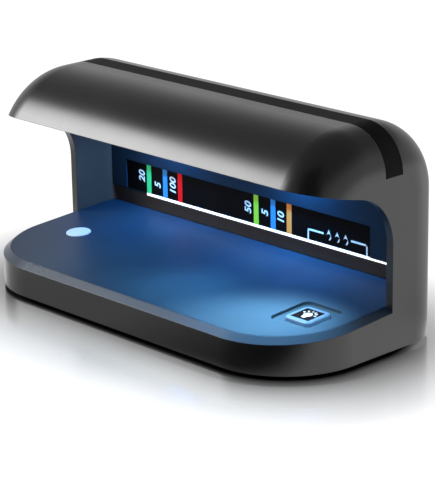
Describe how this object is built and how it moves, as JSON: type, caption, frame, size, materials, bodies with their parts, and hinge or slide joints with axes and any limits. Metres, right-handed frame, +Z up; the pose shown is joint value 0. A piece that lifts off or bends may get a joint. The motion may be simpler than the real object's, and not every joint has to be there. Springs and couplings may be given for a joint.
{
  "type": "counterfeit bill detector",
  "caption": "Desktop counterfeit bill detector: a dark rounded hood over an open sloping note deck, a lit chamber with a label strip, a push key and a switch and power inlet at the back.",
  "frame": {"origin": "centre of the housing's outline, on the surface that the rubber feet stand on", "axes": "+X along the width, to the right when facing the front; +Y towards the rear, so the open front faces -Y; +Z up"},
  "size_m": [0.22, 0.104, 0.104],
  "materials": {
    "shell_plastic": "satin",
    "strip_gloss": "gloss",
    "cover_plastic": "matte",
    "deck_plastic": "satin",
    "milky_plastic": "satin",
    "panel_plastic": "satin",
    "label_film": "satin",
    "bezel_plastic": "satin",
    "light_strip": "satin",
    "liner_plastic": "matte",
    "clear_window": "clear",
    "reflector_metal": "polished",
    "white_board": "satin",
    "uv_led": "clear",
    "white_led": "clear",
    "green_board": "satin",
    "key_plastic": "satin",
    "key_inlay": "gloss",
    "switch_plastic": "satin",
    "spring_steel": "bright",
    "chip_plastic": "matte",
    "can_metal": "satin",
    "connector_plastic": "matte",
    "contact_metal": "bright",
    "rocker_plastic": "gloss",
    "foot_rubber": "matte",
    "screw_steel": "satin",
    "lead_sheath": "satin"
  },
  "bodies": {
    "housing": {"housing_shell": "shell_plastic", "top_strip": "strip_gloss", "rear_cover": "cover_plastic", "bottom_cover": "cover_plastic", "note_deck": "deck_plastic", "deck_window": "milky_plastic", "back_panel": "panel_plastic", "label_plate": "label_film", "lower_bezel": "bezel_plastic", "light_guide": "light_strip", "hood_liner": "liner_plastic", "uv_window": "clear_window", "uv_reflector": "reflector_metal", "uv_led_board": "white_board", "uv_leds": "uv_led", "white_leds": "white_led", "white_led_board": "white_board", "spot_led": "white_led", "spot_board": "green_board", "main_board": "green_board", "key_board": "green_board", "key_spring": "spring_steel", "key_switch": "switch_plastic", "board_chips": "chip_plastic", "capacitors": "can_metal", "board_connectors": "connector_plastic", "buzzer": "chip_plastic", "dc_jack": "switch_plastic", "jack_pin": "contact_metal", "rocker_body": "switch_plastic", "rubber_feet": "foot_rubber", "base_screws": "screw_steel", "cover_screws": "screw_steel", "board_screws": "screw_steel", "uv_lead": "lead_sheath", "white_lead": "lead_sheath", "switch_lead": "lead_sheath", "inlet_lead": "lead_sheath", "key_lead": "lead_sheath", "spot_lead": "lead_sheath"},
    "key": {"key_cap": "key_plastic", "key_icon": "key_inlay", "key_plunger": "switch_plastic"},
    "rocker": {"rocker": "rocker_plastic"}
  },
  "joints": [
    {"name": "key_press", "type": "slide", "parent": "housing", "child": "key", "axis": [0, 0, -1], "range_m": [0, 0.0009], "stiffness_N_per_m": 900, "springref_m": -0.0006, "deforming": ["key_spring"]},
    {"name": "power_rock", "type": "hinge", "parent": "housing", "child": "rocker", "pos_m": [0.05, 0.0478, 0.0155], "axis": [0, 0, 1], "range_deg": [0, 20]}
  ]
}
